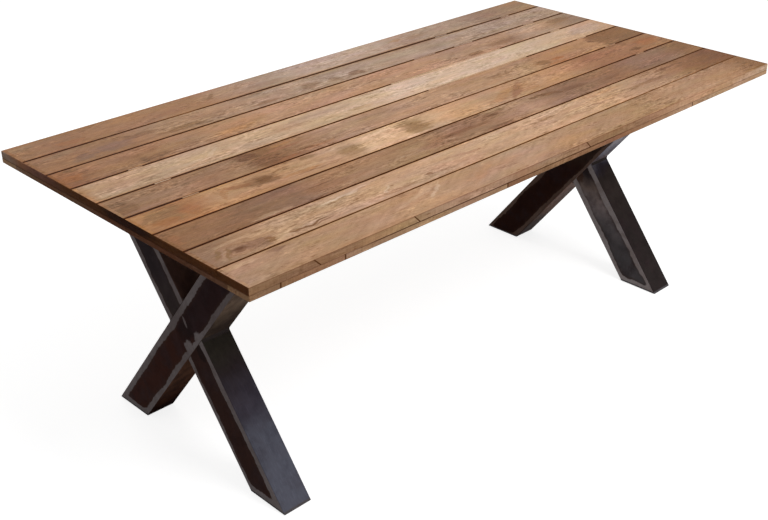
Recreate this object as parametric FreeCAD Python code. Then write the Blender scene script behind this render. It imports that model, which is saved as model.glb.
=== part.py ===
"""Sawbuck table: a plank top on two welded steel X frames.

Millimetres, +Z up. X runs along the table and Y across it. The origin is on the
floor, under the middle of the top. "Near" is the -X end and "front" the -Y side.
"""
import FreeCAD, Part
import math
import os

# ---- Driving dimensions: the top ----
top_length = 2000.0
top_width = 1000.0
top_height = 760.0
board_thickness = 19.0
board_pitch = 112.0
board_gap = 3.0
board_bevel = 1.0
narrowest_outer_board = 60.0
lipping_thickness = 10.0
scarf_run = 19.0
edging_thickness = 14.0
edging_width = 70.0
top_arris = 1.2
layer_arris = 1.0
bottom_arris = 1.5
corner_arris = 1.0

# Where the edge strips are joined, measured in from the end named.
front_scarfs_from_near_end = [173.0, 470.0]
front_scarfs_from_far_end = [901.0]
rear_scarfs_from_near_end = [640.0]
rear_scarfs_from_far_end = [520.0]
near_scarfs_from_rear = [488.0, 616.0]
far_scarfs_from_rear = [300.0]
far_scarfs_from_front = [270.0]
front_butts_from_near_end = [82.0, 261.0, 791.0]
front_butts_from_far_end = [407.0]
rear_butts_from_near_end = [560.0]
rear_butts_from_far_end = [730.0]

# Loose tongues between the boards, and the cross battens under them.
spline_thickness = 4.0
spline_width = 12.0
spline_play = 0.2
spline_stop = 20.0

# Slips that close a groove flush, as (start, end) measured in from the end named.
# One list for each groove, from the rear.
near_slips = [[], [], [(160, 200)], [(160, 205)], [(160, 205)]]
far_slips = [
    [(160, 200), (470, 525)],
    [(165, 215), (470, 555), (645, 735)],
    [(165, 210), (465, 945)],
    [(170, 215), (470, 905)],
    [(165, 215)],
    [(170, 210)],
]
frame_batten_width = 170.0
middle_batten_width = 90.0

# Countersunk wood screws through the battens.
screw_radius = 2.1
screw_length = 30.0
screw_head_radius = 4.2
screw_head_height = 2.6
screw_play = 0.2
screw_end_margin = 15.0

# ---- Driving dimensions: the steel frames ----
frame_overhang = 170.0
foot_spread = 592.0
top_spread = 556.0
section_width = 105.0
section_depth = 86.0
section_wall = 5.0
section_corner = 2.5
cap_thickness = 5.0
crossing_weld_leg = 7.0
plate_weld_leg = 5.0

# Top plates.
plate_thickness = 6.0
plate_width = 130.0
plate_corner = 10.0
plate_end_margin = 20.0

# Bolts up through the plates into threaded inserts.
bolt_radius = 4.0
bolt_head_flats = 13.0
bolt_head_height = 5.3
bolt_side_offset = 40.0
bolt_hole_radius = 4.5
bolt_slot_length = 17.0
bolt_weld_space = 3.0
bolt_tip_recess = 0.5
washer_radius = 10.0
washer_hole_radius = 4.2
washer_thickness = 1.6
insert_radius = 6.0
insert_length = 18.0
insert_bore_play = 0.1
insert_hole_play = 0.1
insert_hole_extra = 1.0

# Pads under the feet.
pad_thickness = 3.0
pad_inset = 6.0
pad_corner = 8.0

# ---- Levels and lines that follow from them ----
board_base = top_height - board_thickness
top_base = board_base - edging_thickness
plate_base = top_base - plate_thickness
cap_top = pad_thickness + cap_thickness
half_length = top_length / 2
half_width = top_width / 2
board_end = half_length - lipping_thickness
board_side = half_width - lipping_thickness

foot_centre = foot_spread / 2
lean = (foot_spread + top_spread) / 2 / top_base
lean_angle = math.atan(lean)
half_section = section_width / 2 / math.cos(lean_angle)
crossing_height = foot_centre / lean
frame_centre = half_length - frame_overhang - section_depth / 2
frame_places = {"near": -frame_centre, "far": frame_centre}

arm_top_outer = lean * plate_base - foot_centre + half_section
bolt_line = arm_top_outer + plate_weld_leg + bolt_weld_space + washer_radius
plate_half_length = bolt_line + plate_end_margin
batten_half_length = half_width - edging_width
batten_spacing = 2 * frame_centre / 3

# Room beyond a piece for the shapes that cut it.
beyond = 50.0
up = FreeCAD.Vector(0, 0, 1)


def save(node, *solids):
    """Write one node, as one solid or as a group of separate solids."""
    shape = solids[0] if len(solids) == 1 else Part.makeCompound(list(solids))
    shape.exportStep(os.path.join("parts", node + ".step"))


def block(low, high):
    """A box between two corners, each given as (x, y, z)."""
    size = [high[i] - low[i] for i in range(3)]
    return Part.makeBox(*size, FreeCAD.Vector(*low))


def prism(points, direction):
    """A straight prism on a flat outline of corner points."""
    corners = [FreeCAD.Vector(*point) for point in points]
    outline = Part.makePolygon(corners + corners[:1])
    return Part.Face(outline).extrude(FreeCAD.Vector(*direction))


def upright(radius, length, x, y, z):
    """A cylinder that stands on the level z."""
    return Part.makeCylinder(radius, length, FreeCAD.Vector(x, y, z), up)


def only_solid(shape):
    return shape.Solids[0]


# ---- Layers of the top ----
def level_edges(shape, z):
    """The edges that lie at one level."""
    return [e for e in shape.Edges if all(abs(v.Z - z) < 1e-6 for v in e.Vertexes)]


def upright_edges(shape):
    """The edges that rise from one level to another, upright or leaning."""
    return [e for e in shape.Edges if abs(e.Vertexes[0].Z - e.Vertexes[1].Z) > 1e-6]


def layer_envelope(low, high, low_arris, high_arris):
    """The full plan of the top between two levels, with its outer arrises taken off."""
    body = block((-half_length, -half_width, low), (half_length, half_width, high))
    body = body.makeChamfer(corner_arris, upright_edges(body))
    body = body.makeChamfer(low_arris, level_edges(body, low))
    return body.makeChamfer(high_arris, level_edges(body, high))


def joint_places(half_span, from_low_end, from_high_end):
    """Joint positions along a side, in order, from distances to its two ends."""
    low = [distance - half_span for distance in from_low_end]
    high = [half_span - distance for distance in from_high_end]
    return sorted(low + high)


# ---- Boards ----
def board_lines():
    """The two sides of each board, from the rear of the top to its front."""
    room = 2 * board_side
    inner_count = int((room - 2 * narrowest_outer_board) / board_pitch)
    joints = [(i - inner_count / 2) * board_pitch for i in range(inner_count + 1)]
    half_gap = board_gap / 2
    lows = [-board_side] + [y + half_gap for y in joints]
    highs = [y - half_gap for y in joints] + [board_side]
    return list(zip(lows, highs))[::-1]


boards = board_lines()
board_joints = [(boards[i][0] + boards[i + 1][1]) / 2 for i in range(len(boards) - 1)]
board_middles = [(low + high) / 2 for low, high in boards]
spline_middle = board_base + board_thickness / 2


def bevelled_board(low, high):
    """A board with its top edges bevelled where it meets another board."""
    low_bevel = board_bevel if low > -board_side else 0.0
    high_bevel = board_bevel if high < board_side else 0.0
    section = [(low, board_base), (high, board_base)]
    section.append((high, top_height - high_bevel))
    if high_bevel:
        section.append((high - high_bevel, top_height))
    if low_bevel:
        section.append((low + low_bevel, top_height))
    section.append((low, top_height - low_bevel))
    points = [(-board_end, y, z) for y, z in section]
    return prism(points, (2 * board_end, 0, 0))


def spline_groove(joint):
    """The room that one tongue takes from the two boards beside it."""
    half_reach = spline_width / 2 + spline_play
    half_height = spline_thickness / 2 + spline_play / 2
    end = board_end - spline_stop + spline_play
    low = (-end, joint - half_reach, spline_middle - half_height)
    high = (end, joint + half_reach, spline_middle + half_height)
    return block(low, high)


def spline(joint):
    """One loose tongue, stopped short of the board ends."""
    end = board_end - spline_stop
    low = (-end, joint - spline_width / 2, spline_middle - spline_thickness / 2)
    high = (end, joint + spline_width / 2, spline_middle + spline_thickness / 2)
    return block(low, high)


def groove_slip(joint, start, end):
    """A strip glued into a groove above the tongue, flush with the top and its bevels."""
    half_gap = board_gap / 2
    tongue_top = spline_middle + spline_thickness / 2
    half_section_outline = [
        (half_gap, tongue_top),
        (half_gap, top_height - board_bevel),
        (half_gap + board_bevel, top_height),
    ]
    mirrored = [(-y, z) for y, z in half_section_outline[::-1]]
    points = [(start, joint + y, z) for y, z in half_section_outline + mirrored]
    return prism(points, (end - start, 0, 0))


def make_groove_slips():
    slips = []
    for joint, spans in zip(board_joints, near_slips):
        slips += [groove_slip(joint, a - half_length, b - half_length) for a, b in spans]
    for joint, spans in zip(board_joints, far_slips):
        slips += [groove_slip(joint, half_length - b, half_length - a) for a, b in spans]
    save("groove_slips", *slips)


# ---- Fastener places ----
batten_places = {
    "near_frame_batten": (-frame_centre, frame_batten_width),
    "middle_batten_1": (-batten_spacing / 2, middle_batten_width),
    "middle_batten_2": (batten_spacing / 2, middle_batten_width),
    "far_frame_batten": (frame_centre, frame_batten_width),
}


def screw_rows():
    """One screw up into each board, kept clear of the batten's ends."""
    reach = batten_half_length - screw_end_margin
    return [min(max(y, -reach), reach) for y in board_middles]


def bolt_places(x_middle):
    """Two bolts outside each arm's top and two between the arms."""
    sides = (-bolt_side_offset, bolt_side_offset)
    return [(x_middle + dx, y) for y in (-bolt_line, 0.0, bolt_line) for dx in sides]


screw_points = [(x, y) for x, width in batten_places.values() for y in screw_rows()]
bolt_points = [p for x in frame_places.values() for p in bolt_places(x)]


def screw_shape(x, y, play=0.0):
    """A countersunk screw with its head flush with the batten's underside."""
    shank = upright(screw_radius + play, screw_length + play, x, y, top_base)
    head_radius = screw_head_radius + play
    tip_radius = screw_radius + play
    cone_foot = FreeCAD.Vector(x, y, top_base)
    head = Part.makeCone(head_radius, tip_radius, screw_head_height, cone_foot, up)
    return only_solid(shank.fuse(head).removeSplitter())


def insert_hole(x, y):
    radius = insert_radius + insert_hole_play
    return upright(radius, insert_length + insert_hole_extra, x, y, top_base)


screw_holes = [screw_shape(x, y, screw_play) for x, y in screw_points]
insert_holes = [insert_hole(x, y) for x, y in bolt_points]


def drilled(shape, holes):
    """The shape with the holes that reach it."""
    box = shape.BoundBox
    near = [hole for hole in holes if box.intersect(hole.BoundBox)]
    return only_solid(shape.cut(near)) if near else shape


def make_boards():
    grooves = [spline_groove(joint) for joint in board_joints]
    for number, (low, high) in enumerate(boards, start=1):
        board = bevelled_board(low, high)
        board = drilled(board, grooves + screw_holes + insert_holes)
        save("board_%d" % number, board)
    save("board_splines", *[spline(joint) for joint in board_joints])


# ---- Lipping: scarf-jointed strips round the edges of the boards ----
def side_frame(shape, turn):
    """Turn a shape built for the front side round to another side."""
    shape.rotate(FreeCAD.Vector(0, 0, 0), up, turn)
    return shape


def mitred_rail(half_span, half_depth):
    """The front side's strip, full length, mitred at both corners."""
    inner_span = half_span - lipping_thickness
    outer = -half_depth
    inner = outer + lipping_thickness
    plan = [(-half_span, outer), (half_span, outer), (inner_span, inner), (-inner_span, inner)]
    points = [(x, y, board_base) for x, y in plan]
    return prism(points, (0, 0, board_thickness))


def scarf_cell(start, end, half_depth):
    """The stretch of a strip between two scarf joints, which slope as they go down."""
    outline = [(start, top_height), (end, top_height)]
    outline += [(end + scarf_run, board_base), (start + scarf_run, board_base)]
    points = [(x, -half_depth - beyond, z) for x, z in outline]
    return prism(points, (0, 2 * beyond, 0))


def make_lipping(name, turn, half_span, half_depth, joints):
    envelope = layer_envelope(board_base, top_height, layer_arris, top_arris)
    ends = [-half_span - beyond] + joints + [half_span + beyond]
    for number in range(1, len(ends)):
        piece = mitred_rail(half_span, half_depth)
        piece = piece.common(scarf_cell(ends[number - 1], ends[number], half_depth))
        piece = side_frame(only_solid(piece), turn).common(envelope)
        save("%s_lipping_%d" % (name, number), only_solid(piece))


def make_all_lipping():
    front = joint_places(half_length, front_scarfs_from_near_end, front_scarfs_from_far_end)
    rear = joint_places(half_length, rear_scarfs_from_far_end, rear_scarfs_from_near_end)
    near = joint_places(half_width, [], near_scarfs_from_rear)
    far = joint_places(half_width, far_scarfs_from_front, far_scarfs_from_rear)
    make_lipping("front", 0, half_length, half_width, front)
    make_lipping("rear", 180, half_length, half_width, rear)
    make_lipping("near_end", -90, half_width, half_length, near)
    make_lipping("far_end", 90, half_width, half_length, far)


# ---- Edging: the lower layer that thickens the edge ----
def make_long_edging(name, low_y, joints):
    envelope = layer_envelope(top_base, board_base, bottom_arris, layer_arris)
    ends = [-half_length] + joints + [half_length]
    for number in range(1, len(ends)):
        low = (ends[number - 1], low_y, top_base)
        high = (ends[number], low_y + edging_width, board_base)
        save("%s_edging_%d" % (name, number), only_solid(block(low, high).common(envelope)))


def make_end_edging(name, low_x):
    envelope = layer_envelope(top_base, board_base, bottom_arris, layer_arris)
    low = (low_x, -batten_half_length, top_base)
    high = (low_x + edging_width, batten_half_length, board_base)
    save(name + "_end_edging", only_solid(block(low, high).common(envelope)))


def make_all_edging():
    front = joint_places(half_length, front_butts_from_near_end, front_butts_from_far_end)
    rear = joint_places(half_length, rear_butts_from_near_end, rear_butts_from_far_end)
    make_long_edging("front", -half_width, front)
    make_long_edging("rear", half_width - edging_width, rear)
    make_end_edging("near", -half_length)
    make_end_edging("far", half_length - edging_width)


# ---- Battens and their screws ----
def make_battens():
    for name, (x, width) in batten_places.items():
        low = (x - width / 2, -batten_half_length, top_base)
        high = (x + width / 2, batten_half_length, board_base)
        save(name, drilled(block(low, high), screw_holes + insert_holes))
    save("batten_screws", *[screw_shape(x, y) for x, y in screw_points])


# ---- Arms of the X frames ----
def arm_line(side, z):
    """Y of an arm's centre line at a level. side +1 has its foot to the rear."""
    return side * (foot_centre - lean * z)


def arm_prism(side, x_middle, low, high, inset=0.0, reach=0.0):
    """A leaning box between two levels, inset inside the section or longer by reach."""
    half_y = half_section - inset / math.cos(lean_angle)
    half_x = section_depth / 2 - inset + reach
    corners = [(low, -half_y), (low, half_y), (high, half_y), (high, -half_y)]
    points = [(x_middle - half_x, arm_line(side, z) + dy, z) for z, dy in corners]
    return prism(points, (2 * half_x, 0, 0))


def rounded_arm(side, x_middle, low, high):
    """The same box with its four long corners rounded."""
    body = arm_prism(side, x_middle, low, high)
    return body.makeFillet(section_corner, upright_edges(body))


def arm_tube(side, x_middle):
    """A hollow arm from its foot cap to the underside of the top plate."""
    outer = rounded_arm(side, x_middle, cap_top, plate_base)
    hollow = arm_prism(side, x_middle, cap_top - beyond, plate_base + beyond, section_wall)
    return only_solid(outer.cut(hollow))


def make_arms(end, x_middle):
    save(end + "_through_arm", arm_tube(1, x_middle))
    crossing = arm_prism(1, x_middle, cap_top - beyond, plate_base + beyond, 0.0, beyond)
    halves = arm_tube(-1, x_middle).cut(crossing).Solids
    lower, upper = sorted(halves, key=lambda half: half.CenterOfMass.z)
    save(end + "_lower_arm", lower)
    save(end + "_upper_arm", upper)
    caps = [rounded_arm(side, x_middle, pad_thickness, cap_top) for side in (1, -1)]
    save(end + "_foot_caps", *[only_solid(cap) for cap in caps])


def corner_weld(x_middle, corner, first, second):
    """A fillet weld along X in the corner of two faces, with a hollow front."""
    along = [FreeCAD.Vector(0, *way).normalize() for way in (first, second)]
    start = FreeCAD.Vector(x_middle - section_depth / 2 + section_corner, *corner)
    toes = [start + way * crossing_weld_leg for way in along]
    throat = start + (along[0] + along[1]) * crossing_weld_leg * 0.4
    edges = [Part.LineSegment(start, toes[0]).toShape()]
    edges.append(Part.Arc(toes[0], throat, toes[1]).toShape())
    edges.append(Part.LineSegment(toes[1], start).toShape())
    bead_length = section_depth - 2 * section_corner
    return Part.Face(Part.Wire(edges)).extrude(FreeCAD.Vector(bead_length, 0, 0))


def make_crossing_welds(end, x_middle):
    rise = half_section / lean
    corners = [
        ((0.0, crossing_height + rise), (-lean, 1), (lean, 1)),
        ((0.0, crossing_height - rise), (lean, -1), (-lean, -1)),
        ((half_section, crossing_height), (lean, 1), (lean, -1)),
        ((-half_section, crossing_height), (-lean, 1), (-lean, -1)),
    ]
    beads = [corner_weld(x_middle, *corner) for corner in corners]
    save(end + "_crossing_welds", *[only_solid(bead) for bead in beads])


def section_rectangle(side, x_middle, z, grow):
    """The outline of an arm's section at a level, grown all round."""
    half_x = section_depth / 2 + grow
    half_y = half_section + grow
    y = arm_line(side, z)
    corners = [(-half_x, -half_y), (half_x, -half_y), (half_x, half_y), (-half_x, half_y)]
    points = [FreeCAD.Vector(x_middle + dx, y + dy, z) for dx, dy in corners]
    return Part.makePolygon(points + points[:1])


def plate_weld(side, x_middle):
    """The fillet weld round one arm, under the top plate."""
    low = section_rectangle(side, x_middle, plate_base - plate_weld_leg, 0.0)
    high = section_rectangle(side, x_middle, plate_base, plate_weld_leg)
    skirt = Part.makeLoft([low, high], True, True)
    arm = rounded_arm(side, x_middle, plate_base - beyond, plate_base + beyond)
    return only_solid(skirt.cut(arm))


# ---- Top plates and their bolts ----
def plate_slot(x, y):
    """A slot along Y that lets the top move as the wood swells and shrinks."""
    half = bolt_slot_length / 2 - bolt_hole_radius
    low = (x - bolt_hole_radius, y - half, plate_base - beyond)
    high = (x + bolt_hole_radius, y + half, top_base + beyond)
    depth = high[2] - low[2]
    ends = [upright(bolt_hole_radius, depth, x, y + dy, low[2]) for dy in (-half, half)]
    return block(low, high).fuse(ends)


def top_plate(x_middle):
    low = (x_middle - plate_width / 2, -plate_half_length, plate_base)
    high = (x_middle + plate_width / 2, plate_half_length, top_base)
    plate = block(low, high)
    plate = plate.makeFillet(plate_corner, upright_edges(plate))
    return only_solid(plate.cut([plate_slot(x, y) for x, y in bolt_places(x_middle)]))


def bolt(x, y):
    """A hexagon bolt whose head bears on a washer under the plate."""
    bearing = plate_base - washer_thickness
    tip = top_base + insert_length - bolt_tip_recess
    shank = upright(bolt_radius, tip - bearing, x, y, bearing)
    corner_radius = bolt_head_flats / 2 / math.cos(math.pi / 6)
    angles = [math.pi / 3 * i for i in range(6)]
    hexagon = [(x + corner_radius * math.cos(a), y + corner_radius * math.sin(a)) for a in angles]
    points = [(px, py, bearing - bolt_head_height) for px, py in hexagon]
    head = prism(points, (0, 0, bolt_head_height))
    return only_solid(shank.fuse(head).removeSplitter())


def washer(x, y):
    low = plate_base - washer_thickness
    disc = upright(washer_radius, washer_thickness, x, y, low)
    return only_solid(disc.cut(upright(washer_hole_radius, washer_thickness, x, y, low)))


def threaded_insert(x, y):
    sleeve = upright(insert_radius, insert_length, x, y, top_base)
    bore = upright(bolt_radius + insert_bore_play, insert_length, x, y, top_base)
    return only_solid(sleeve.cut(bore))


def make_frames():
    for end, x_middle in frame_places.items():
        make_arms(end, x_middle)
        make_crossing_welds(end, x_middle)
        save(end + "_plate_welds", *[plate_weld(side, x_middle) for side in (1, -1)])
        save(end + "_top_plate", top_plate(x_middle))
    save("frame_bolts", *[bolt(x, y) for x, y in bolt_points])
    save("bolt_washers", *[washer(x, y) for x, y in bolt_points])
    save("threaded_inserts", *[threaded_insert(x, y) for x, y in bolt_points])


# ---- Foot pads ----
def foot_pad(side, x_middle):
    half_x = section_depth / 2 - pad_inset
    half_y = half_section - pad_inset
    y = arm_line(side, pad_thickness)
    low = (x_middle - half_x, y - half_y, 0.0)
    high = (x_middle + half_x, y + half_y, pad_thickness)
    pad = block(low, high)
    return only_solid(pad.makeFillet(pad_corner, upright_edges(pad)))


def make_pads():
    pads = [foot_pad(side, x) for x in frame_places.values() for side in (1, -1)]
    save("foot_pads", *pads)


os.makedirs("parts", exist_ok=True)
make_boards()
make_groove_slips()
make_all_lipping()
make_all_edging()
make_battens()
make_frames()
make_pads()
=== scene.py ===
"""Looks of the sawbuck table: wood and steel finishes, floor, lamps and camera.

Metres, +Z up. X runs along the table, "near" is the -X end and "front" the -Y side.
Places on the top are written in millimetres, as the table's own sizes are.
"""
import math
from collections import namedtuple

import bpy
from mathutils import Matrix, Vector


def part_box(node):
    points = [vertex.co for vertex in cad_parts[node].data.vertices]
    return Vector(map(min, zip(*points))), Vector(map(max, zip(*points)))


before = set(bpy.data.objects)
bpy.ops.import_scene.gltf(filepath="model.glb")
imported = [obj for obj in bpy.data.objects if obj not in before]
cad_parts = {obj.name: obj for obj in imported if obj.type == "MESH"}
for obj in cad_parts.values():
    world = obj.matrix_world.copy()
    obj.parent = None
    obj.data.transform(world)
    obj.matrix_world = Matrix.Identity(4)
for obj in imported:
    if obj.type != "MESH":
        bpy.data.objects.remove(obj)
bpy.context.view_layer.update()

MM = 0.001


# ---- Sizes taken from the frame ----
top_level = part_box("board_1")[1].z
board_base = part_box("board_1")[0].z
half_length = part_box("near_end_edging")[0].x * -1
half_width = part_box("front_edging_1")[0].y * -1
board_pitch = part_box("board_2")[0].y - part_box("board_3")[0].y
first_seam = (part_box("board_1")[0].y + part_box("board_2")[1].y) / 2


# ---- Colour ----
def linear(value):
    """One 0-255 screen value as linear light."""
    share = value / 255
    return share / 12.92 if share <= 0.04045 else ((share + 0.055) / 1.055) ** 2.4


def colour(red, green, blue):
    return (linear(red), linear(green), linear(blue), 1.0)


def palette(**tones):
    return {name: colour(*values) for name, values in tones.items()}


WOOD = palette(
    walnut=(116, 77, 50),
    umber=(131, 93, 61),
    mauve=(134, 100, 79),
    mocha=(143, 104, 76),
    rosewood=(146, 100, 72),
    chestnut=(145, 97, 63),
    nutmeg=(152, 110, 77),
    copper=(161, 117, 83),
    hazel=(168, 131, 100),
    khaki=(157, 122, 87),
    straw=(180, 146, 108),
    drab=(157, 122, 91),
    taupe=(145, 110, 84),
    sienna=(138, 99, 69),
    blush=(180, 146, 121),
    buff=(183, 147, 116),
    oat=(197, 168, 140),
    brown=(155, 117, 87),
    stone=(153, 124, 103),
    tawny=(164, 125, 95),
    fawn=(170, 134, 107),
    mushroom=(171, 143, 122),
    ash=(186, 158, 140),
    rust=(160, 104, 62),
    russet=(169, 120, 80),
    honey=(175, 131, 94),
    amber=(184, 141, 103),
    sand=(177, 139, 107),
    clay=(182, 140, 110),
    tan=(187, 150, 119),
    apricot=(199, 156, 120),
    peach=(214, 173, 138),
    wheat=(195, 161, 130),
    cream=(206, 176, 150),
    olive=(132, 99, 62),
    driftwood=(156, 130, 112),
    plum=(122, 82, 67),
    coffee=(104, 66, 46),
    cedar=(116, 83, 62),
    cocoa=(114, 76, 42),
    bark=(94, 56, 30),
    peat=(82, 46, 20),
    pitch=(42, 16, 3),
    chocolate=(54, 28, 16),
    stain=(56, 22, 3),
)


# ---- Short calls that build a node tree ----
def empty_tree(owner):
    owner.use_nodes = True
    owner.node_tree.nodes.clear()
    return owner.node_tree


def add_node(tree, kind, inputs, **settings):
    """Add a shader node. inputs maps a socket's name or number to a constant or a socket."""
    node = tree.nodes.new("ShaderNode" + kind)
    for name, value in settings.items():
        setattr(node, name, value)
    for socket, value in inputs.items():
        if isinstance(value, bpy.types.NodeSocket):
            tree.links.new(value, node.inputs[socket])
        else:
            node.inputs[socket].default_value = value
    return node


class Graph:
    """One material's nodes. Every call returns the output socket it makes."""

    def __init__(self, name):
        self.material = bpy.data.materials.new(name)
        self.tree = empty_tree(self.material)
        self.position = self.add("TexCoord", {}).outputs["Object"]
        self.x, self.y, self.z = self.split(self.position)

    def add(self, kind, inputs, **settings):
        return add_node(self.tree, kind, inputs, **settings)

    def math(self, operation, *values):
        inputs = dict(enumerate(values))
        return self.add("Math", inputs, operation=operation).outputs[0]

    def vector(self, operation, *values):
        inputs = dict(enumerate(values))
        node = self.add("VectorMath", inputs, operation=operation)
        return node.outputs["Value" if operation == "LENGTH" else "Vector"]

    def split(self, vector):
        return self.add("SeparateXYZ", {0: vector}).outputs

    def join(self, x, y, z):
        return self.add("CombineXYZ", {0: x, 1: y, 2: z}).outputs[0]

    def noise(self, vector, detail=3.0, roughness=0.55, scale=1.0, output="Fac"):
        inputs = {"Vector": vector, "Scale": scale, "Detail": detail, "Roughness": roughness}
        return self.add("TexNoise", inputs).outputs[output]

    def ramp(self, value, low, high, out_low=0.0, out_high=1.0):
        """A smooth step from out_low to out_high while the value goes from low to high."""
        inputs = {0: value, 1: low, 2: high, 3: out_low, 4: out_high}
        node = self.add("MapRange", inputs, interpolation_type="SMOOTHSTEP")
        return node.outputs[0]

    def mix(self, factor, first, second, mode="MIX"):
        inputs = {0: factor, 6: first, 7: second}
        node = self.add("Mix", inputs, data_type="RGBA", blend_type=mode)
        return node.outputs[2]

    def apart(self, first, second):
        return self.math("ABSOLUTE", self.math("SUBTRACT", first, second))

    def jitter(self, value, noise, amount):
        """Move a value up and down with a noise, by half of amount at the most."""
        return self.math("MULTIPLY_ADD", self.math("SUBTRACT", noise, 0.5), amount, value)

    def toned(self, tint, noise, low, high, amount, factor):
        """Multiply a colour by factor, up to amount, where a noise rises from low to high."""
        return self.mix(self.ramp(noise, low, high, 0.0, amount), tint, factor, "MULTIPLY")

    def turn(self, vector, angle, axis=(0.0, 0.0, 1.0)):
        inputs = {"Vector": vector, "Axis": axis, "Angle": angle}
        return self.add("VectorRotate", inputs).outputs[0]

    def colour_line(self, value, stops, low, high):
        """Colours along a line from low to high. stops are (place, colour)."""
        inputs = {0: value, 1: low, 2: high}
        share = self.add("MapRange", inputs).outputs[0]
        node = self.add("ValToRGB", {0: share})
        elements = node.color_ramp.elements
        while len(elements) > 1:
            elements.remove(elements[-1])
        for index, (place, tint) in enumerate(stops):
            share_of_line = (place - low) / (high - low)
            element = elements[0] if index == 0 else elements.new(share_of_line)
            element.position = share_of_line
            element.color = tint
        return node.outputs[0]

    def finish(self, bump=None, bump_depth=0.0002, **surface):
        """The shader. Sockets not named in surface keep Blender's own value."""
        inputs = {key.replace("_", " "): value for key, value in surface.items()}
        if bump is not None:
            bumped = self.add("Bump", {"Height": bump, "Distance": bump_depth})
            inputs["Normal"] = bumped.outputs[0]
        shader = self.add("BsdfPrincipled", inputs)
        self.add("OutputMaterial", {"Surface": shader.outputs[0]})
        return self.material


def dress(name, material):
    """Put one material on every slot of a CAD node."""
    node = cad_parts[name]
    node.data.materials.clear()
    node.data.materials.append(material)
    for polygon in node.data.polygons:
        polygon.material_index = 0


# ---- Wood ----
# Marks on a board, in millimetres. length and width are half the mark's size.
# BOARDS writes its patches as plain values in this order.
Patch = namedtuple("Patch", "x y length width tint strength tilt", defaults=(0.0,))
Vein = namedtuple("Vein", "x y length width wave tint strength")
Knot = namedtuple("Knot", "x y length width")

# The figure's noises, in cells per metre along the grain and across it.
CLOUDS = (5.0, 14.0)
STREAKS = (6.0, 42.0)
GRAIN = (42.0, 135.0)
MOTTLE = (100.0, 150.0)
GROWTH_LINES = (17.0, 200.0)
WARMTH = (6.0, 24.0)
ACTIVITY = (6.0, 20.0)
FIBRES = (18.0, 820.0)
FLECKS = (60.0, 140.0)
PORES = (55.0, 1300.0)
DASHES = (40.0, 150.0)
FEATHER = (15.0, 48.0)
LONG_FRAY = (10.0, 90.0)
SHORT_FRAY = (40.0, 80.0)

# The slanting figure: its cells per metre along X, Y and Z after a turn by its angle.
SWEEP = (9.0, 74.0, 1.0)
SWEEP_ANGLE = math.radians(-29.0)

# How much a shade, a warmth or a blush moves red, green and blue.
SHADE_WEIGHTS = (0.88, 1.0, 1.18)
WARMTH_WEIGHTS = (0.35, 0.0, -0.9)
BLUSH_WEIGHTS = (0.3, -0.35, 0.3)
WHITE = (1.0, 1.0, 1.0)
PORE_TINT = (0.58, 0.47, 0.37, 1.0)
FLECK_TINT = (1.28, 1.28, 1.25, 1.0)
BOARD_GLOSS = 0.04
STRIP_GLOSS = 0.01
GRAIN_DEPTH = 0.00025

# How far a board's and a strip's grain wander, how far a board's stains feather out, and
# where along X its contrast changes from the near end's to the far end's.
BOARD_DRIFT = 0.016
STRIP_DRIFT = 0.004
FEATHER_REACH = (0.06, 0.03, 0.0)
CONTRAST_TURN = 0.4


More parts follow.
